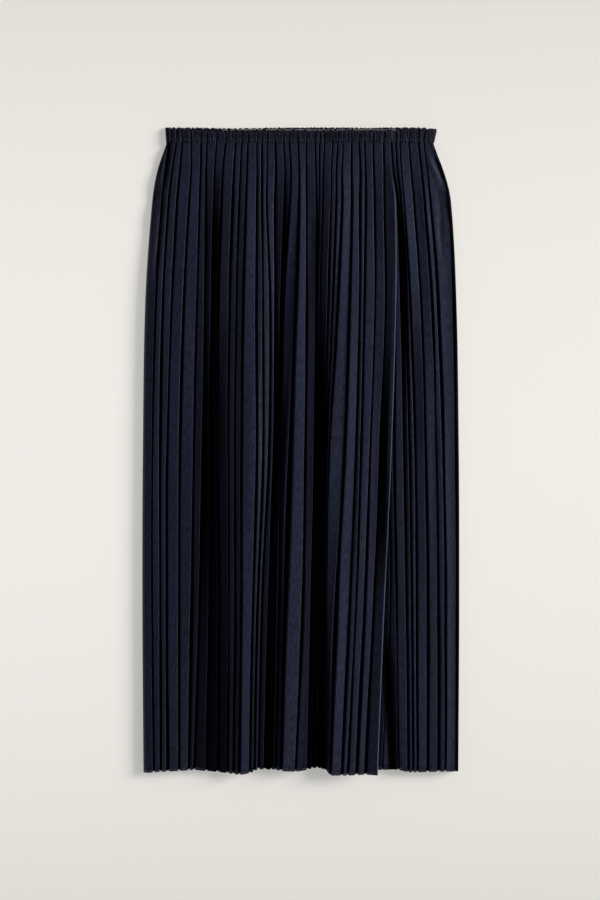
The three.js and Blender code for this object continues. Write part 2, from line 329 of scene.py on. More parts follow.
def side_roll(layers, seam, roll, seam_height, side):
    """Adds the rounding at a side seam: a quarter of an ellipse from the seam up to the panel's first
    column, X = seam + roll * (1 - cos) and Z = seam height + rise * sin. Side is 1 for the left seam and -1
    for the right."""
    column = slice(0, 1) if side > 0 else slice(-1, None)
    angle = np.linspace(0, np.pi / 2, ROLL_COLUMNS, endpoint=False)
    rolled = {key: np.repeat(values[:, column], ROLL_COLUMNS, axis=1) for key, values in layers.items()}
    rolled["x"] = seam[:, None] + side * roll * (1 - np.cos(angle))
    rolled["z"] = seam_height + (layers["z"][:, column] - seam_height) * np.sin(angle)
    if side > 0:
        return {key: np.concatenate([rolled[key], layers[key]], axis=1) for key in layers}
    return {key: np.concatenate([layers[key], rolled[key][:, ::-1]], axis=1) for key in layers}


# %% [markdown]
# Numpy arrays become meshes in one step: the grid's faces are counted out as whole arrays and foreach_set
# fills the mesh, with no loop over vertices. The UV map holds real metres along the cloth, so a weave keeps
# its thread size on every pleat. Each layer becomes a point attribute: the two layers of painted shade, the
# tone with its painted light, and the painted highlight of the edge on the panel with a turned edge.

# %% From grids to cloth
CLOTH_THICKNESS = 0.6 * MM


def cloth_metres(points):
    """Distance along the cloth, across and down, from the first corner: running sums of the edge lengths."""
    u = np.zeros(points.shape[:2])
    v = np.zeros(points.shape[:2])
    u[:, 1:] = np.cumsum(np.linalg.norm(np.diff(points, axis=1), axis=2).mean(0))
    v[1:] = np.cumsum(np.linalg.norm(np.diff(points, axis=0), axis=2).mean(1))[:, None]
    return np.stack([u, v], axis=2)


def cloth_object(name, points_mm, layers, facing_up=True):
    """A sheet as a mesh: quads between neighbouring grid points, a UV map in metres, and one float
    attribute for each layer. Solidify gives it its wall, towards the inside of the garment."""
    points = points_mm * MM
    rows, columns = points.shape[:2]
    index = np.arange(rows * columns).reshape(rows, columns)
    quads = np.stack([index[:-1, :-1], index[1:, :-1], index[1:, 1:], index[:-1, 1:]], axis=2).reshape(-1, 4)
    if not facing_up:
        quads = quads[:, ::-1]
    mesh = bpy.data.meshes.new(name)
    mesh.vertices.add(points[..., 0].size)
    mesh.vertices.foreach_set("co", points.reshape(-1))
    mesh.loops.add(quads.size)
    mesh.loops.foreach_set("vertex_index", quads.reshape(-1))
    mesh.polygons.add(len(quads))
    mesh.polygons.foreach_set("loop_start", np.arange(len(quads)) * 4)
    mesh.polygons.foreach_set("use_smooth", np.ones(len(quads), bool))
    uv = cloth_metres(points).reshape(-1, 2)[quads.reshape(-1)]
    mesh.uv_layers.new(name="cloth").data.foreach_set("uv", uv.reshape(-1))
    for key, values in layers.items():
        attribute = mesh.attributes.new(key, "FLOAT", "POINT")
        attribute.data.foreach_set("value", values.astype(np.float32).reshape(-1))
    mesh.update()
    mesh.validate()
    piece = bpy.data.objects.new(name, mesh)
    bpy.context.scene.collection.objects.link(piece)
    wall = piece.modifiers.new("wall", "SOLIDIFY")
    wall.thickness = CLOTH_THICKNESS
    wall.offset = -1
    wall.use_even_offset = False
    down, right = points[1:, :-1] - points[:-1, :-1], points[:-1, 1:] - points[:-1, :-1]
    area = np.linalg.norm(np.cross(down, right), axis=2).sum()
    print(f"{name}: {rows} x {columns} points, {4 * len(quads)} triangles with wall, {area:.3f} m2 of cloth")
    return piece


# %% [markdown]
# Pleats remember the iron, but a worn skirt also takes creases that cross them: at the hips, where it was
# folded, and where it sagged on its hanger. A sculpt brush could pull them, and each would differ. Here every
# crease is one row of a table: the two ends of a line on the panel, and how wide and high the ridge along it
# is, or how deep when it is below zero. A trough is also painted darker by its depth, as painted shade.

# %% Creases
CREASE_RISES = 0.25  # of its length
CREASE_FADES = 0.35
# Painted shade for each millimetre of a trough's depth.
SHADE_PER_MM = 0.26


def creased(sheet, creases):
    """Raises the sheet along each line by height * exp(-(d / width)^2) * fade, with d the distance to the
    line and fade a soft rise and fall along it. A trough also adds painted shade, by its depth."""
    points, layers = sheet
    for x0, y0, x1, y1, width, height in table(creases):
        along = np.array([x1 - x0, y1 - y0])
        length = np.linalg.norm(along)
        along /= length
        to_point = points[..., :2] - [x0, y0]
        t = to_point @ along / length
        d = to_point @ [-along[1], along[0]]
        rise = height * np.exp(-(d / width) ** 2) * smooth(t / CREASE_RISES) * smooth((1 - t) / CREASE_FADES)
        points[..., 2] += rise
        layers["shade"] = np.clip(layers["shade"] - SHADE_PER_MM * np.minimum(rise, 0), 0, 1)


# %% [markdown]
# The front is a wrap. Its outer panel runs from the left side seam to a free edge, where the cloth is turned
# under twice into a thin round hem. That hem is the one bright line of the garment. It is real geometry, a
# small roll past the last column whose outward side meets the light, and its colour is also mixed towards a
# paler navy as a painted highlight, which fades in below the waist, with painted shade on the roll above
# that. Where the edge swings out, nearly half-way down, the folded strip beside the roll stands up a little
# and its painted shade is taken off.

# %% The turned free edge
EDGE_RADIUS = 1.1
EDGE_COLUMNS = 7
EDGE_TURN = 1.2 * np.pi
EDGE_OPENS = 50
# Painted shade on the roll near the waist, and the least mix of the painted highlight on the roll.
EDGE_SHADE = 0.85
LEAST_EDGE_HIGHLIGHT = 0.15
HEM_STRIP = 4.2
STRIP_SPREAD = 1.8
STRIP_RISE = 1.5
STRIP_DEPTH = 320
STRIP_REACH = 130


def rolled_edge(points, layers):
    """Adds the turned edge: an arc past the last column, three fifths of a turn down and under. The strip
    inside it rises by STRIP_RISE * exp(-((inside - HEM_STRIP) / STRIP_SPREAD)^2), most at STRIP_DEPTH, and
    loses its painted shade there. The edge layer, a painted highlight, is 0 on the panel and grows to 1 on
    the arc below the waist, where the arc's painted shade ends."""
    inside = points[:, -1:, 0] - points[..., 0]
    depth = TOP - points[:, -1:, 1]
    swing = np.exp(-((depth - STRIP_DEPTH) / STRIP_REACH) ** 2)
    points[..., 2] += STRIP_RISE * swing * np.exp(-((inside - HEM_STRIP) / STRIP_SPREAD) ** 2)
    on_strip = smooth((HEM_STRIP + STRIP_SPREAD / 2 - inside) / STRIP_SPREAD)
    layers["shade"] = layers["shade"] * (1 - swing * on_strip)

    angle = np.linspace(0, EDGE_TURN, EDGE_COLUMNS + 1)[1:]
    arc = np.repeat(points[:, -1:, :], EDGE_COLUMNS, axis=1)
    arc[..., 0] += EDGE_RADIUS * np.sin(angle)
    arc[..., 2] -= EDGE_RADIUS * (1 - np.cos(angle))
    wider = {key: np.concatenate([layer, np.repeat(layer[:, -1:], EDGE_COLUMNS, axis=1)], axis=1)
             for key, layer in layers.items()}
    # Painted highlight on the roll below the waist, painted shade on it near the waist.
    lit = smooth((depth - EDGE_OPENS) / EDGE_OPENS)
    wider["shade"][:, -EDGE_COLUMNS:] = EDGE_SHADE * (1 - lit)
    wider["edge"] = np.zeros_like(wider["fold"])
    wider["edge"][:, -EDGE_COLUMNS - 1:] = LEAST_EDGE_HIGHLIGHT + (1 - LEAST_EDGE_HIGHLIGHT) * lit
    return np.concatenate([points, arc], axis=1), wider


# %% [markdown]
# The outer front panel has 31 pleats, which swing out to the left and the right of a dark valley in the
# middle. One table holds its folds, one the turns of its pleats, a row for each from the left, and one its
# creases. The turns tilt the bands, so light and dark come partly from their shape, and they also set painted
# shade and painted light in the colour, so the dark valley is partly painted.

# %% Tables of the outer front panel
OVERLAP_FOLDS = """
    -      -166.3  -176.8    -183  -191.7  -194.7  -195.4  -194.1     7    12     0   6.8
    W      -160.7  -166.9  -171.3  -178.3  -182.1  -182.4  -181.1     8  12.5     6     6
    nnW    -134.8  -134.5    -137  -143.2  -148.4  -149.6  -149.3   8.5    14     7   4.2
    Wn       -115  -116.2  -116.6  -117.8  -120.6  -123.7  -130.2   8.5  12.5   6.5   3.2
    WW      -92.1   -95.2   -96.8  -100.8    -102  -100.2  -101.4   8.5  10.5   5.5   5.8
    Wnn     -64.7   -65.5   -66.8   -69.9   -72.1   -72.1   -74.6   8.5  18.5     7   8.4
    W       -53.2   -52.9   -53.2   -54.4   -52.9   -57.9   -61.6   8.5  21.5     7   6.2
    nn      -40.8   -40.8   -41.2   -37.1   -38.1     -47   -51.3   8.5    15     7   1.8
    WWn     -13.6   -11.7     -13   -19.8   -23.5     -26   -30.3   8.5  10.3   5.4   3.2
    W        -2.5    -1.2    -1.2    -4.6   -11.8   -17.3   -23.2   8.5  15.5     7   3.8
    W           8       8     8.3     8.3     6.2       4    -4.7   8.5  20.5     7   4.9
    W        18.8    19.4    19.8    19.2    17.3    14.2     9.5   8.5    15     7   2.2
    nn       29.9    28.4    27.8    24.7    25.3    24.1      21   8.5  10.3   5.4   0.4
    Wnn      53.2    51.9    52.3    47.5    36.6    33.2    32.4  10.6    17     6   2.8
    W        63.5    63.5    64.0    61.6    55.2    45.0    37.6  10.8    19   6.2   9.2
    W        73.8    75.1    74.6    73.8    68.6    61.6    52.6    11    20   6.5   9.3
    n        80.3    81.3    81.4    79.3    74.8    69.3    59.8    11  20.6   6.5     9
    W        90.9    91.5    92.4    92.0    85.9    80.4    70.9    11  21.5   6.5   8.4
    W       103.9   104.5   104.5   105.4    98.9    91.0    81.5    11  19.5     6     8
    W       111.2   112.4     117   117.4   111.8   103.2      95  11.5    23     0   8.6
"""
OVERLAP_TURNS = """
    -26  -18  -17  -11
      0    0    0   -6
      0    1   -4   -9
      0    0    1    2
     -3   -6   -6   -1
      0  -12  -15  -15
     -3  -23  -35  -26
    -12  -38  -38  -32
      0   -7  -25  -29
      0   -6  -13  -21
     -3  -12  -14  -20
      4   13    8   15
     -3   -6   11  -20
      0   -3   -3  -20
      4    8  -10  -23
      0  -18  -38  -38
     -8  -38  -28  -27
      3    9  -26  -22
      4    8   18    8
      0   -5  -12   -5
    -12  -38  -38  -38
     -8  -28  -38  -38
      0  -14  -38  -38
      2    3  -38  -38
      0   14  -25  -38
      2    9   12  -34
      3   10   14    9
     -2   -3   -4    4
      0    5    5    6
     -4   -5    1    4
    -12  -18  -36  -11
"""
# Troughs are painted darker by their depth, as painted shade; the deepest, at the left hip, is painted fully
# dark.
OVERLAP_CREASES = """
    -160  390   -171  312    2.6  -4.2
    -169  330   -181  190    2.8  -2.8
    -165  378   -173  350    1.1   1.3
    -169  366   -177  332    1.1  -1.3
    -173  352   -181  316    1.1   1.2
    -176  330   -184  292    1.2  -1.1
    -180  312   -186  268    1.3   1
    -150  350   -158  250    7     0.9
    -128  300   -120  120    9     1.1
     -96  180   -104  -60    8    -1.2
     -60  120    -64 -120    7     0.9
      20  300      6  140    7    -0.9
      84   60     66 -200    7     0.8
     100  330    108  220    5     0.9
"""
OVERLAP_GAPES = (  # groove, its middle and reach in millimetres, extra share of its width
    (18, 430, 160, 1.6),
    (26, 600, 90, 1.0),
)

# %% Outer front panel
HEM_DEPTH = 791
FRONT_ROWS = 108
UNDER_CASING = 13.4  # depth of the row that is hidden under the waistband

front_depths = np.concatenate([[UNDER_CASING], np.linspace(SEAM_DEPTH, HEM_DEPTH, FRONT_ROWS)])
overlap_folds = read_folds(OVERLAP_FOLDS)
overlap = pleated_sheet(
    overlap_folds, table(OVERLAP_TURNS).T, front_depths, seed=11, left_roll=8, gapes=OVERLAP_GAPES)
creased(overlap, OVERLAP_CREASES)
overlap = rolled_edge(*overlap)
front_overlap = cloth_object("front_overlap_cloth", *overlap)

# %% [markdown]
# The inner front panel starts under the outer one, at an edge that nobody sees, and runs to the right side
# seam. It could share the outer panel's surface, but a real wrap has two, with a step between them. The long
# shadow beside the bright hem comes from pleats turned away from the light and from a deep trough in its
# creases, partly by their shape and partly as painted shade. Fine creases cross it at the hip, so its bands
# get more columns of points.

# %% Inner front panel
UNDERLAP_FOLDS = """
    -          64      64      65      66      63      60      56   6.5   8.6     0     1
    WWWn    102.6   103.9   106.3   107.6   108.8   111.3   102.6   6.5    12     2   3.4
    n       108.8   110.1   113.8   116.2   116.2     119     122   6.6  12.5     5     3
    W       113.1     115   119.9   124.9   128.6   131.9   133.8     8  14.5   6.5   5.9
    nn      124.3   126.1   129.2     136   141.8   144.1   145.9   8.5    12   6.5     6
    WWn     153.6   157.3     161   170.9   176.8   179.9   179.3   8.5  14.5   6.5   4.9
    W       163.2     175   183.2   188.8   191.8   192.8   192.2     8    14     6   4.9
    n       165     178     187     193.8   196.8   197.4   196.2     7    13     0   4.9
"""
UNDERLAP_TURNS = """
     -9   -9   -9   -9
     -9   -9   -9   -9
     -9   -9   -9   -9
     -9  -20  -20  -18
     -8  -30  -15  -13
      0    4    5    6
     -6  -38  -12   -3
     -8  -34  -10   -2
      4   11   -1    5
     -3   -4    9    2
      3   10    2    4
      4   10   11   12
    -31  -38  -38  -38
"""
# Troughs are painted darker by their depth, as painted shade; the last row is a deep trough beside the hem,
# painted fully dark.
UNDERLAP_CREASES = """
     155  370    177  322    2.8   1
     164  368    183  322    2.6  -1.6
     172  330    176  230    1.9  -0.9
     163  380    169  372    1.3   1
     166  374    173  364    1.2  -1.1
     168  366    175  356    1.3   1
     172  356    179  344    1.3  -1
     181  330    188  280    2.2   1.2
     148  340    160  250    4     0.9
     140  180    148  -40    7    -0.9
     172   60    176 -180    6     0.8
     103 -200    121 -520    7    -4.4
"""

underlap_folds = read_folds(UNDERLAP_FOLDS)
underlap = pleated_sheet(
    underlap_folds, table(UNDERLAP_TURNS).T, front_depths, seed=23, right_roll=3, band_columns=7)
creased(underlap, UNDERLAP_CREASES)
front_underlap = cloth_object("front_underlap_cloth", *underlap)

# %% [markdown]
# The back lies under everything with its pleats pressed flat on the table. It is the same kind of sheet
# turned over, so its outer side faces down and its grooves rise into the skirt. Only its two side seams
# need a row in its table, and its 44 pleats repeat one rhythm between them.

# %% Back panel
BACK_HEM_DEPTH = 789.4
BACK_ROWS = 70
BACK_FOLDS = """
    -      -166.3  -176.8    -183  -191.7  -194.7  -195.4  -194.1     0     0     0     0
    all     166.3   177.2   185.5   191.7   194.7   195.4   194.1     0     0     3     0
"""
# Troughs are painted darker by their depth, as painted shade.
BACK_CREASES = """
    -165  370   -178  310    3.5  -1.2
     160  372    176  306    3.5  -1.2
     -90  300   -104   40    9     1.2
      70  240     88  -90   10     1.1
     -20  120     -8 -260    9    -1
     130  -40    138 -300    8     1
     -40  360     30  332    6    -0.8
"""


def laid_down(sheet, creases=""):
    """Turns a sheet over, so that its outer side faces down, creases it, and lifts it until nothing is
    under the table: Z becomes -Z, less its lowest value where that is below zero."""
    laid = sheet[0] * [1, 1, -1], sheet[1]
    creased(laid, creases)
    laid[0][..., 2] -= min(laid[0][..., 2].min(), 0)
    return laid


back_folds = read_folds(BACK_FOLDS)
back_turns = np.zeros((len(TURN_DEPTHS), len(back_folds["pleats"][1])))
back_depths = np.linspace(SEAM_DEPTH, BACK_HEM_DEPTH, BACK_ROWS)
back = pleated_sheet(
    back_folds, back_turns, back_depths, seed=37, left_roll=2.6, right_roll=2.6, seam_height=-2.5)
back = laid_down(back, BACK_CREASES)
back_panel = cloth_object("back_panel_cloth", *back, facing_up=False)
print("pleats:", [len("".join(folds["pleats"])) for folds in (overlap_folds, underlap_folds, back_folds)])

# %% [markdown]
# The waistband is a casing: a strip folded over an elastic and stitched down, so the pleats are gathered
# and run through it. Two plain boxes would look cut from board. Here a folded strip, outer layer, rounded
# top and inner layer, is carried along the waist, and fine gathers ripple it between the pleats.

# %% Gathers and grooves at the waist
MIN_PLEAT = 3.5
GATHER_WAVES = np.array([2.3, 2.9, 3.7, 4.9, 6.3, 9.1])
GATHER_LEAN = 1.6  # radians from the seam to the top
GATHER_DRIFT = 2  # radians
DRIFT_LENGTH = 17
GATHER_GAIN = 1.6


def waist_folds(folds_list):
    """X and height of the grooves that enter the waistband, left to right, without those underneath."""
    at_seam = [grooves_of(folds, np.array([SEAM_DEPTH])) for folds in folds_list]
    x = np.concatenate([grooves["x"][0] for grooves in at_seam])
    height = np.concatenate([grooves["height"][0] for grooves in at_seam])
    seen = np.concatenate([[True], x[1:] > np.maximum.accumulate(x)[:-1] + MIN_PLEAT])
    return x[seen], height[seen]


def gathers(columns, up, rng):
    """Fine ripples of about -1 to 1: the mean of six sines across, each leaning its own way up the band,
    whose phases drift along the waist."""
    each = (len(GATHER_WAVES), 1, 1)
    phase = rng.uniform(0, 2 * np.pi, each)
    lean = rng.normal(0, GATHER_LEAN, each)
    drift = GATHER_DRIFT * np.sin(columns / DRIFT_LENGTH + rng.uniform(0, 2 * np.pi, each))
    waves = np.sin(columns / GATHER_WAVES.reshape(each) * 2 * np.pi + phase + drift + lean * up)
    return waves.mean(0) * GATHER_GAIN


# %% [markdown]
# The top edge of a gathered waistband is never straight. It dips at the middle of the front, droops at the
# corners and is ruffled by every gather. A bevelled box would end in one clean line, so the edge is a curve
# of its own, and the casing's section is stretched up to it.

# %% The casing's top edge
DIP_SHARE = 0.42
CORNER_DROP = 0.8
RUFFLE = 0.8
RUFFLE_NOISE = 0.3
RUFFLE_SLOT = 1.3
RUFFLE_RANGE = (-1.6, 0.55)
TOP_DIPS = """
    -0.49  0.28  1.1
     0.5   0.09  0.6
     0.98  0.05  1.7
"""


def top_line(side, fine, slot, bend, top_edge, dip, rng):
    """Y of the top edge along the waist, with side from -1 to 1: the edge, less a soft dip towards the
    middle, the droop of the corners and depth * exp(-((side - centre) / spread)^2) for each row of
    TOP_DIPS, plus a ruffle."""
    ruffle = RUFFLE * fine + rng.normal(0, RUFFLE_NOISE, len(side)) - RUFFLE_SLOT * slot
    top = top_edge - dip * smooth((1 - np.abs(side)) / DIP_SHARE) + np.clip(ruffle, *RUFFLE_RANGE)
    top = top - CORNER_DROP * (1 - bend)
    for centre, spread, depth in table(TOP_DIPS):
        top = top - depth * np.exp(-((side - centre) / spread) ** 2)
    return top


# %% [markdown]
# The casing itself is a section carried along the waist. A curve with a bevel could carry it, but a bevel
# can't take the pleats' notches or the rows of stitching that hold the elastic. So it is one surface over
# two parameters, t round the section and the place along the waist.

# %% The casing
CASING_ROWS = 30
COLUMN_STEP = 0.5
HALF_WAIST = 165.4
CASING_THICK = 2.0
CASING_LIFT = 0.2
STRAIGHT = 0.42  # share of the section that is one flat layer
GATHER_DEPTH = 0.42
INNER_RIPPLE = 0.4  # of the outer layer's ripple shows on the inner one
SLOT_DEPTH = 0.9
SLOT_WIDTH = 1.05
ELASTIC_ROWS = (0.3, 0.62)  # where the casing is stitched to its elastic, from the seam to the top
ELASTIC_SPREAD = 0.08
ELASTIC_PULL = 0.3
PULLED_GATHERS = 0.5
BAND_ROLL = 4
FLARE = (0.006, 0.02)  # how far the top corners stick out, left and right
FLARE_FROM = 0.85
# Painted shade in the waistband: in its slots, in the troughs of the gathers and on its rounded ends.
SLOT_DARK = 0.36
GATHER_SHADE = 0.2
END_SHADE = 0.5


def casing(folds_list, seed, top_edge, dip, height, down=False, seam_height=4.3):
    """A folded strip along the waist. Around its section, t goes from the outer seam over the top edge to
    the inner seam: Y and Z follow a flat loop with a round end. Along the waist Z takes the panels'
    heights, notches where their grooves enter, fine gathers, and a pull along each row of elastic, and both
    ends round off to the seam height. X flares by a small share at the top corners. Down makes the outer
    layer flat, for the side on a table."""
    rng = np.random.default_rng(seed)
    x, panel_height = waist_folds(folds_list)
    columns = np.arange(-HALF_WAIST, HALF_WAIST + COLUMN_STEP, COLUMN_STEP)
    side = columns / HALF_WAIST
    t = np.linspace(0, 1, CASING_ROWS)[:, None]
    up = np.clip(t / STRAIGHT, 0, 1)
    turn = np.clip((t - STRAIGHT) / (1 - 2 * STRAIGHT), 0, 1) * np.pi
    under = np.clip((t - (1 - STRAIGHT)) / STRAIGHT, 0, 1)

    slot = notch(np.abs(columns[:, None] - x[1:-1]).min(1) / SLOT_WIDTH)
    fine = gathers(columns, up, rng)
    pull = sum(np.exp(-((up - row) / ELASTIC_SPREAD) ** 2) for row in ELASTIC_ROWS) * (t < 0.5)
    ripple = GATHER_DEPTH * fine * (1 + PULLED_GATHERS * pull) - SLOT_DEPTH * slot - ELASTIC_PULL * pull
    level = np.interp(columns, x, panel_height) + CASING_LIFT
    outer = level + ripple
    inner = level - CASING_THICK + INNER_RIPPLE * ripple
    if down:
        outer = np.minimum(ripple, 0)
        inner = INNER_RIPPLE * ripple - CASING_THICK
    over = (1 - np.cos(turn)) / 2
    bend = np.sqrt(1 - (1 - np.clip((1 - np.abs(side)) * HALF_WAIST / BAND_ROLL, 0, 1)) ** 2)
    z = seam_height + (outer * (1 - over) + inner * over - seam_height) * bend

    top = top_line(side, fine[-1], slot, bend, top_edge, dip, rng)
    seam = TOP - height
    radius = CASING_THICK / 2
    y = seam + (top - radius - seam) * (up - under) + radius * np.sin(turn)
    at_corner = smooth((np.abs(side) - FLARE_FROM) / (1 - FLARE_FROM))
    flare = 1 + np.where(side < 0, *FLARE) * (up - under) * at_corner
    # Painted shade in the slots, in the gathers' troughs and at the ends, and a tone that is paler on the
    # gathers' crests, which is painted light.
    fold = SLOT_DARK * slot + 0 * z
    shade = np.clip(GATHER_SHADE * (1 - fine) + END_SHADE * (1 - bend), 0, 1)
    layers = {"fold": fold, "shade": shade * (1 - fold), "tone": (1 + fine) / 2}
    points = np.stack([columns * flare, y, z], axis=2)
    return points[::-1], {key: layer[::-1] for key, layer in layers.items()}


# %% [markdown]
# The waistband has two such halves. The front one dips in the middle, so that the inside of the back one
# shows above it. The back one is turned over, as its panel was, and lies on the table.

# %% Both halves of the waistband
FRONT_TOP = TOP - 0.6
BACK_TOP = TOP + 1.2

band_front = casing([overlap_folds, underlap_folds], seed=5, top_edge=FRONT_TOP, dip=4.4, height=18.8)
waistband_front = cloth_object("waistband_front_casing", *band_front)
band_back = casing([back_folds], seed=9, top_edge=BACK_TOP, dip=0, height=15.6, down=True, seam_height=-4.0)
band_back = laid_down(band_back)
waistband_back = cloth_object("waistband_back_casing", *band_back, facing_up=False)

# %% [markdown]
# Sewing is small but tells the scale. An overlocked edge inside the back of the waistband shows as a pale
# thread line, and the hem's thread shows as short specks. A dashed line in the material would lie flat, so
# each stitch is a thin arched tube, and all stitches of a line are one mesh.

# %% Tubes of thread
TUBE_SIDES = 6
BLUNT_END = 0.15


def thread_mesh(name, paths_mm, radius):
    """Tubes round paths given as an array of stitches x points x 3: each point gets a ring of six points at
    that radius, square to the path, and a small cap closes both ends."""
    paths = np.asarray(paths_mm, float)
    count, length = paths.shape[:2]
    along = np.gradient(paths, axis=1)
    along /= np.linalg.norm(along, axis=2, keepdims=True)
    up = np.broadcast_to([0.0, 0.0, 1.0], along.shape)
    side = np.cross(along, up)
    side /= np.linalg.norm(side, axis=2, keepdims=True)
    over = np.cross(side, along)
    angle = np.linspace(0, 2 * np.pi, TUBE_SIDES, endpoint=False)
    size = np.full(length, radius)
    size[[0, -1]] = radius * BLUNT_END
    ring = side[:, :, None] * np.cos(angle)[:, None] + over[:, :, None] * np.sin(angle)[:, None]
    points = paths[:, :, None] + ring * size[None, :, None, None]
    index = np.arange(points[..., 0].size).reshape(count, length, TUBE_SIDES)
    following = np.roll(index, -1, axis=2)
    quads = np.stack([index[:, :-1], following[:, :-1], following[:, 1:], index[:, 1:]], axis=3)
    quads = quads.reshape(-1, 4)
    caps = np.concatenate([index[:, 0, ::-1], index[:, -1]])
    mesh = bpy.data.meshes.new(name)
    mesh.from_pydata((points.reshape(-1, 3) * MM).tolist(), [], quads.tolist() + caps.tolist())
    mesh.polygons.foreach_set("use_smooth", np.ones(len(mesh.polygons), bool))
    mesh.update()
    piece = bpy.data.objects.new(name, mesh)
    bpy.context.scene.collection.objects.link(piece)
    print(f"{name}: {count} stitches")
    return piece


def arched(start, step, arch):
    """Each stitch as three points: its start, its middle raised by the arch, and its end, at start + step."""
    end = start + step
    return np.stack([start, (start + end) / 2 + [0, 0, arch], end], axis=1)


# %% Overlock inside the waistband
STITCH_SEED = 3
OVERLOCK_SPAN = (-98, 118)
OVERLOCK_Y = 397.9
OVERLOCK_PITCH = 1.9
OVERLOCK_LENGTH = 1.2 * OVERLOCK_PITCH
OVERLOCK_RADIUS = 0.52
OVERLOCK_WAVE = 0.55
OVERLOCK_JITTER = 0.3
OVERLOCK_SHOWS = 0.85


def overlock_paths(sheet, rng):
    """A zigzag of short stitches along the waist, laid on the highest line of the casing: Y swings by the
    wave to each side, with a normal jitter, and a share of the stitches is hidden in the gathers."""
    x = np.arange(*OVERLOCK_SPAN, OVERLOCK_PITCH)
    z = np.interp(x, sheet[0][0, :, 0], sheet[0][..., 2].max(0)) + OVERLOCK_RADIUS
    zig = np.where(np.arange(len(x)) % 2, OVERLOCK_WAVE, -OVERLOCK_WAVE)
    start = np.column_stack([x, OVERLOCK_Y + zig + rng.normal(0, OVERLOCK_JITTER, len(x)), z])
    rise = rng.normal(0, OVERLOCK_JITTER / 2, len(x))
    step = np.column_stack([np.full(len(x), OVERLOCK_LENGTH), -2 * zig, rise])
    shown = rng.uniform(0, 1, len(x)) < OVERLOCK_SHOWS
    return arched(start, step, arch=0.3)[shown]


stitches = np.random.default_rng(STITCH_SEED)
overlock = thread_mesh("overlock_thread", overlock_paths(band_back, stitches), OVERLOCK_RADIUS)

# %% [markdown]
# The hem is overlocked too, in navy thread. It shows only as specks, and only where a band faces up, so
# each stitch is kept or left out by the layers of the panel right above the hem.

# %% Thread of the hem
HEM_PITCH = 2.2
HEM_LENGTH = 0.6 * HEM_PITCH
HEM_RADIUS = 0.34
HEM_MARGINS = (4, 3)
HEM_INSET = 2.4
HEM_LIFT = 0.55
HEM_WAVE = (0.5, 1.2)
HEM_SLANT = 1.5
HEM_JITTER = 0.1
HEM_SHOWS = 0.8
MOST_FOLD = 0.15
MOST_SHADE = 0.6
TINY = 1e-6


def hem_paths(sheet, rng):
    """The overlocked edge of the hem: a zigzag laid on the panel's last rows, only on bands that face up,
    where both layers of painted shade are small, and there a share of the stitches shows."""
    points, layers = sheet
    row = points[-2]
    x = np.arange(row[0, 0] + HEM_MARGINS[0], row[-1, 0] - HEM_MARGINS[1], HEM_PITCH)
    rising = np.maximum.accumulate(row[:, 0]) + np.arange(len(row)) * TINY
    below = (layers["fold"][-2], layers["shade"][-2], row[:, 2], points[-1, :, 1])
    fold, shade, z, y = (np.interp(x, rising, values) for values in below)
    shown = (fold < MOST_FOLD) & (shade < MOST_SHADE) & (rng.uniform(0, 1, len(x)) < HEM_SHOWS)
    zig = np.where(np.arange(len(x)) % 2, 1.0, -1.0)
    start = np.column_stack([x, y + HEM_INSET + zig * rng.uniform(*HEM_WAVE, len(x)), z + HEM_LIFT])
    rise = rng.normal(0, HEM_JITTER, len(x))
    step = np.column_stack([np.full(len(x), HEM_LENGTH), -HEM_SLANT * zig, rise])
    return arched(start, step, arch=0.25)[shown]


hem_overlap = thread_mesh("overlap_hem_thread", hem_paths(overlap, stitches), HEM_RADIUS)
hem_underlap = thread_mesh("underlap_hem_thread", hem_paths(underlap, stitches), HEM_RADIUS)

# %% [markdown]
# Colours are typed as sRGB hex codes, the way a colour picker shows them, but a shader works in linear
# light, so one function turns them. One more adds a node. Nodes could be drawn by hand in the editor, but a
# script can be read from top to bottom and changed in one place.

# %% Colours and the node helper
MIX_A = 6  # numbers of a Mix node's colour inputs and of its colour output
MIX_B = 7
MIX_COLOUR = 2


def linear(hex_code):
    """An sRGB hex colour as linear RGBA: ((c + 0.055) / 1.055)^2.4, or c / 12.92 near black."""
    srgb = np.array([int(hex_code[i:i + 2], 16) for i in (1, 3, 5)]) / 255
    low, high = srgb / 12.92, ((srgb + 0.055) / 1.055) ** 2.4
    return (*np.where(srgb <= 0.04045, low, high), 1.0)


def add(tree, kind, inputs, out=0, **settings):
    """Adds one node, sets its properties, fills its inputs, by name or number, with values or with other
    nodes' outputs, and returns the output that is asked for."""
    node = tree.nodes.new(kind)
    for key, value in settings.items():
        setattr(node, key, value)
    for key, value in inputs.items():
        if isinstance(value, bpy.types.NodeSocket):
            tree.links.new(value, node.inputs[key])
        else:
            node.inputs[key].default_value = value
    return node.outputs[out]


# %% [markdown]
# The cloth is a woven polyester with heat-set pleats: a fine plain weave of filament yarn, dyed dark navy.
# The yarn gives a soft sheen at the pleats' shoulders and a slightly mottled face. Each pleat took the heat a
# little differently, so its tone differs at random between blue and violet, and on top of that the tone
# shifts with how the pleat faces the light, which is painted light. In the grooves, and on pleats that face
# away from the light, the colour is mixed to near black and loses its gloss, which is painted shade. A flat
# colour with a gloss would look like plastic, so the dye, the painted light, the yarn's mottle and the
# painted shade are layers.

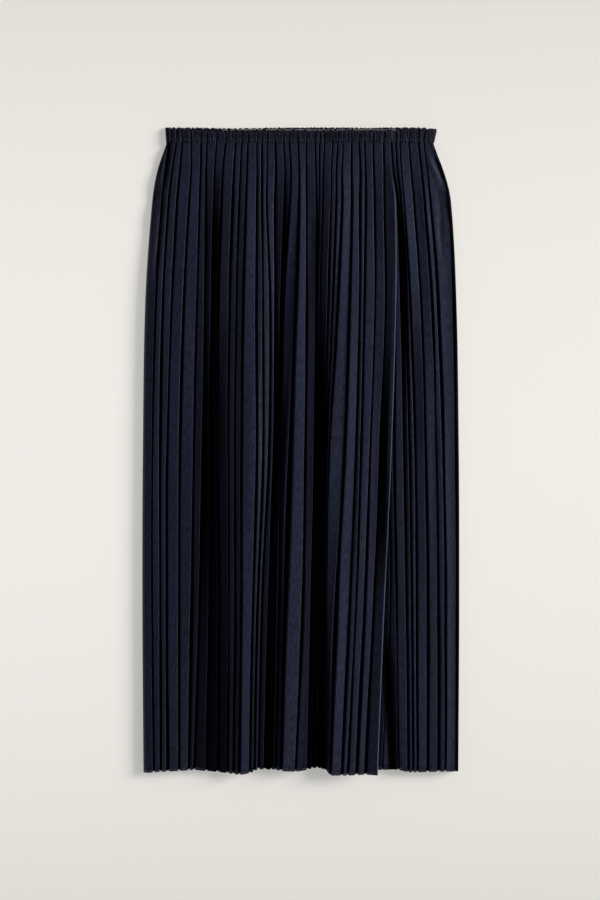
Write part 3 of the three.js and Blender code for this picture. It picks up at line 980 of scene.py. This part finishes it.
# %% Woven polyester
THREAD_MM = 1.3  # the real pitch is 0.35 mm, too fine to show in the picture
WAVE_PERIOD = 2 * np.pi / 20  # metres between the bands of a wave texture at scale 1
WEAVE = {"Scale": WAVE_PERIOD / (THREAD_MM * MM), "Distortion": 1.5, "Detail": 1.0, "Detail Scale": 2.0}
YARN_MM = (1.9, 8)  # a thick place in a yarn, across and down; drawn coarse, as the weave is
SLUB = {"Scale": 1.0, "Detail": 3.0, "Roughness": 0.7}
STREAK_MM = (5, 70)  # a patch that took the dye unevenly, long down the pleat
CLOUD = {"Scale": 1.0, "Detail": 2.0}
NOISE_RANGE = {"From Min": 0.38, "From Max": 0.62}
MOTTLE = {"To Min": 0.72, "To Max": 1.36}
PATCHES = {"To Min": -0.6, "To Max": 0.6}
# The specular level falls from the face to 0 under full painted shade, so shaded cloth loses its reflection
# too.
GLOSS = {"To Min": 0.26, "To Max": 0.0}  # specular level on the face and in the creases
SLUB_HEIGHT = 0.8
BUMP = {"Strength": 0.35, "Distance": 0.25 * MM}
ROUGH_CHANGE = 0.06


def per_metre(millimetres):
    """Noise scale across and down for spots of that size: 1 / metres on each axis."""
    return (1 / (millimetres[0] * MM), 1 / (millimetres[1] * MM), 1.0)


def woven_polyester(name, face, violet_face, crease, painted_hem_highlight, sheen, roughness):
    """Filament polyester in a plain weave. Colour = the two faces mixed by tone plus clouds, where the tone
    carries painted light, times the mottle of the yarn, then mixed to a painted highlight by edge, and to the
    crease colour, a painted shade, by the larger of the two painted shade layers. Bump = warp * weft + slub.
    The specular level is high on the face and falls to 0 under full painted shade."""
    material = bpy.data.materials.new(name)
    material.use_nodes = True
    tree = material.node_tree
    shader = tree.nodes["Principled BSDF"]
    fold, shade, tone, edge = (add(tree, "ShaderNodeAttribute", {}, "Fac", attribute_name=layer)
                               for layer in ("fold", "shade", "tone", "edge"))
    uv = add(tree, "ShaderNodeUVMap", {}, uv_map="cloth")
    warp, weft = (add(tree, "ShaderNodeTexWave", {"Vector": uv, **WEAVE}, "Fac", bands_direction=axis)
                  for axis in ("X", "Y"))
    weave = add(tree, "ShaderNodeMath", {0: warp, 1: weft}, operation="MULTIPLY")
    yarns = add(tree, "ShaderNodeMapping", {"Vector": uv, "Scale": per_metre(YARN_MM)})
    streaks = add(tree, "ShaderNodeMapping", {"Vector": uv, "Scale": per_metre(STREAK_MM)})
    slub = add(tree, "ShaderNodeTexNoise", {"Vector": yarns, **SLUB}, "Fac")
    cloud = add(tree, "ShaderNodeTexNoise", {"Vector": streaks, **CLOUD}, "Fac")

    mottle = add(tree, "ShaderNodeMapRange", {"Value": slub, **NOISE_RANGE, **MOTTLE})
    patch = add(tree, "ShaderNodeMapRange", {"Value": cloud, **NOISE_RANGE, **PATCHES})
    # The tone mixes the two faces: a random dye, plus painted light from how the pleat faces the light.
    dye_and_painted_light = add(tree, "ShaderNodeMath", {0: patch, 1: tone}, operation="ADD", use_clamp=True)
    dyed_with_painted_light = add(tree, "ShaderNodeMix", {"Factor": dye_and_painted_light, MIX_A: linear(face), MIX_B: linear(violet_face)},
               MIX_COLOUR, data_type="RGBA")
    mottled = add(tree, "ShaderNodeVectorMath", {0: dyed_with_painted_light, "Scale": mottle}, operation="SCALE")
    # Painted highlight of the turned edge.
    with_painted_highlight = add(tree, "ShaderNodeMix", {"Factor": edge, MIX_A: mottled, MIX_B: linear(painted_hem_highlight)},
                 MIX_COLOUR, data_type="RGBA")
    # Painted shade: in the slots and on pleats that face away from the light.
    most_painted_shade = add(tree, "ShaderNodeMath", {0: fold, 1: shade}, operation="MAXIMUM")
    with_painted_shade = add(tree, "ShaderNodeMix", {"Factor": most_painted_shade, MIX_A: with_painted_highlight, MIX_B: linear(crease)},
                  MIX_COLOUR, data_type="RGBA")

    # Gloss falls under the painted shade.
    gloss = add(tree, "ShaderNodeMapRange", {"Value": most_painted_shade, **GLOSS})
    gloss_mottled_and_shaded = add(tree, "ShaderNodeMath", {0: gloss, 1: mottle}, operation="MULTIPLY")
    height = add(tree, "ShaderNodeMath", {0: slub, 1: SLUB_HEIGHT, 2: weave}, operation="MULTIPLY_ADD")
    bump = add(tree, "ShaderNodeBump", {"Height": height, **BUMP})
    rough = add(tree, "ShaderNodeMapRange", {"Value": cloud, "To Min": roughness - ROUGH_CHANGE,
                                             "To Max": roughness + ROUGH_CHANGE})
    shader.inputs["Specular Tint"].default_value = linear(sheen)
    for key, source in (("Base Color", with_painted_shade), ("Specular IOR Level", gloss_mottled_and_shaded), ("Normal", bump),
                        ("Roughness", rough)):
        tree.links.new(source, shader.inputs[key])
    print(f"{name}: {len(tree.nodes)} nodes")
    return material


# In both cloths the crease colour is what the painted shade mixes to, and the hem colour is the painted
# highlight of a turned edge.
pleated_cloth = woven_polyester("heat_set_polyester", face="#151b29", violet_face="#19192a", crease="#050408",
                                painted_hem_highlight="#343a4c", sheen="#c0c6fc", roughness=0.5)
casing_cloth = woven_polyester("gathered_polyester", face="#10131c", violet_face="#141420", crease="#030306",
                               painted_hem_highlight="#343a4c", sheen="#9aa0c8", roughness=0.6)

# %% [markdown]
# Sewing thread is spun polyester: short fibres twisted round each other, with a dull, hairy surface. Its
# twist is too fine to model, so a fine noise mixes a dark and a light colour along it. The waistband's
# overlock is pale grey, and the hem's is nearly the cloth's own navy.

# %% Spun thread
TWIST_MM = 1.1  # the real twist is about 0.3 mm, too fine to show in the picture
TWIST = {"Scale": 1 / (TWIST_MM * MM), "Detail": 1.0}
THREAD_ROUGHNESS = 0.6


def spun_thread(name, dark, light):
    """Spun polyester: colour = dark * (1 - noise) + light * noise, with a dull surface."""
    material = bpy.data.materials.new(name)
    material.use_nodes = True
    tree = material.node_tree
    shader = tree.nodes["Principled BSDF"]
    place = add(tree, "ShaderNodeTexCoord", {}, "Object")
    twist = add(tree, "ShaderNodeTexNoise", {"Vector": place, **TWIST}, "Fac")
    colour = add(tree, "ShaderNodeMix", {"Factor": twist, MIX_A: linear(dark), MIX_B: linear(light)},
                 MIX_COLOUR, data_type="RGBA")
    tree.links.new(colour, shader.inputs["Base Color"])
    shader.inputs["Roughness"].default_value = THREAD_ROUGHNESS
    return material


pale_thread = spun_thread("overlock_polyester_thread", dark="#3c3f49", light="#b4b5ba")
dark_thread = spun_thread("hem_polyester_thread", dark="#262a3c", light="#6e7390")

# %% [markdown]
# Now the frame is dressed. Each sheet of cloth takes its material, replaces the rigid node that it covers,
# and rides on the skirt's one body, so that it goes where the frame goes. Threads replace nothing and only
# ride along. Parenting by hand would do the same, but it would have to be done again after each change of
# the frame.

# %% Dress the frame
for piece, node, slot, material in (
    (front_overlap, "front_overlap", "pleated_cloth", pleated_cloth),
    (front_underlap, "front_underlap", "pleated_cloth", pleated_cloth),
    (back_panel, "back_panel", "pleated_cloth", pleated_cloth),
    (waistband_front, "waistband_front", "waistband_cloth", casing_cloth),
    (waistband_back, "waistband_back", "waistband_cloth", casing_cloth),
):
    piece.data.materials.append(material)
    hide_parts(node)
    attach(piece, "root")
for stitching, slot, thread in (
    (overlock, "waistband_cloth", pale_thread),
    (hem_overlap, "pleated_cloth", dark_thread),
    (hem_underlap, "pleated_cloth", dark_thread),
):
    stitching.data.materials.append(thread)
    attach(stitching, "root")

# %% [markdown]
# Counting the cloth that goes down into each groove and back, the outer panel is cut 0.66 m wide though it
# lies 0.31 m wide.

# %% [markdown]
# The studio is a pale table under soft light. A plain white table would darken away from the key light, so
# its paper glows faintly: most in the middle, less towards both ends of the skirt and towards the light.
# The glow belongs to the stage and not to the skirt.

# %% Table
FLOOR_SIZE = 6.0
FLOOR_GAP = 0.2 * MM
TABLE_GLOW = 0.4
GLOW_FALL = 0.38  # for each square metre of Y^2
GLOW_LEAN = 0.072  # for each metre to the right
GLOW_REACH = 0.36  # most Y^2, at 0.6 m from the middle
PAPER_ROUGHNESS = 0.95

floor_mesh = bpy.data.meshes.new("floor")
corners = np.array([[-1, -1], [1, -1], [1, 1], [-1, 1]]) * FLOOR_SIZE / 2
floor_mesh.from_pydata(np.column_stack([corners, np.full(4, -FLOOR_GAP)]).tolist(), [], [(0, 1, 2, 3)])
floor = bpy.data.objects.new("floor", floor_mesh)
bpy.context.scene.collection.objects.link(floor)

paper = bpy.data.materials.new("studio_paper")
paper.use_nodes = True
tree = paper.node_tree
paper_shader = tree.nodes["Principled BSDF"]
paper_shader.inputs["Base Color"].default_value = linear("#bcbbb8")
paper_shader.inputs["Roughness"].default_value = PAPER_ROUGHNESS
paper_shader.inputs["Emission Color"].default_value = linear("#fffefb")
on_table = add(tree, "ShaderNodeTexCoord", {}, "Object")
place = add(tree, "ShaderNodeSeparateXYZ", {"Vector": on_table}).node.outputs
squared = add(tree, "ShaderNodeMath", {0: place["Y"], 1: place["Y"]}, operation="MULTIPLY")
near = add(tree, "ShaderNodeMath", {0: squared, 1: GLOW_REACH}, operation="MINIMUM")
glow = add(tree, "ShaderNodeMath", {0: near, 1: -GLOW_FALL, 2: TABLE_GLOW}, operation="MULTIPLY_ADD")
leaning = add(tree, "ShaderNodeMath", {0: place["X"], 1: -GLOW_LEAN, 2: glow}, operation="MULTIPLY_ADD")
tree.links.new(leaning, paper_shader.inputs["Emission Strength"])
floor_mesh.materials.append(paper)
print(f"table: {FLOOR_SIZE} m square")

# %% [markdown]
# The key light comes low from the right and a little from the waist side, so the right shoulders of the
# pleats are bright and the large valleys fall into shade. A light overhead would flatten them. It is a
# large soft square, and pale walls around, brighter low down and to the right, fill the shade.

# %% Light
KEY_PLACE = Vector((8.2, 2.2, 4.2))
KEY_SIZE = 3.4
KEY_WATTS = 1250
WALL_LIGHT = {"From Min": 0.0, "From Max": 0.9, "To Min": 1.0, "To Max": 0.12}
RIGHT_LIGHT = {"From Min": -1.0, "From Max": 1.0, "To Min": 0.5, "To Max": 1.5}

key_data = bpy.data.lights.new("key_from_the_right", "AREA")
key_data.size = KEY_SIZE
key_data.energy = KEY_WATTS
key_data.color = linear("#fffaf4")[:3]
key_light = bpy.data.objects.new("key_from_the_right", key_data)
key_light.location = KEY_PLACE
key_light.rotation_euler = (-KEY_PLACE).to_track_quat("-Z", "Y").to_euler()
bpy.context.scene.collection.objects.link(key_light)

world = bpy.data.worlds.new("studio")
bpy.context.scene.world = world
world.use_nodes = True
sky = world.node_tree
direction = add(sky, "ShaderNodeTexCoord", {}, "Generated")
ray = add(sky, "ShaderNodeSeparateXYZ", {"Vector": direction}).node.outputs
low_walls = add(sky, "ShaderNodeMapRange", {"Value": ray["Z"], **WALL_LIGHT})
right_wall = add(sky, "ShaderNodeMapRange", {"Value": ray["X"], **RIGHT_LIGHT})
studio_walls = add(sky, "ShaderNodeMath", {0: low_walls, 1: right_wall}, operation="MULTIPLY")
sky.links.new(studio_walls, sky.nodes["Background"].inputs["Strength"])
sky.nodes["Background"].inputs["Color"].default_value = linear("#f2f1ee")
print(f"key light: {KEY_PLACE.length:.1f} m away, {KEY_WATTS} W")

# %% [markdown]
# The camera hangs straight above the skirt. Its lens is worked out from the length of table that the
# picture shows: lens / sensor = distance / length. An orthographic camera would hide the small change of
# size between the table and the top of the folds, so this one is a real lens, far away.

# %% Camera
CAMERA_HEIGHT = 3.0
CAMERA_Y = 0.0011
MIDDLE_HEIGHT = 0.01  # of the laid skirt, where the picture's length is measured
VIEW_LENGTH = 1.1128
SENSOR = 36

camera_data = bpy.data.cameras.new("camera")
camera_data.sensor_width = SENSOR
camera_data.sensor_fit = "VERTICAL"
camera_data.sensor_height = SENSOR
camera_data.lens = SENSOR * (CAMERA_HEIGHT - MIDDLE_HEIGHT) / VIEW_LENGTH
camera = bpy.data.objects.new("camera", camera_data)
camera.location = (0, CAMERA_Y, CAMERA_HEIGHT)
bpy.context.scene.collection.objects.link(camera)
bpy.context.scene.camera = camera
bpy.context.scene.view_settings.view_transform = "Standard"
print(f"camera: {camera_data.lens:.1f} mm lens, {CAMERA_HEIGHT} m above the table")
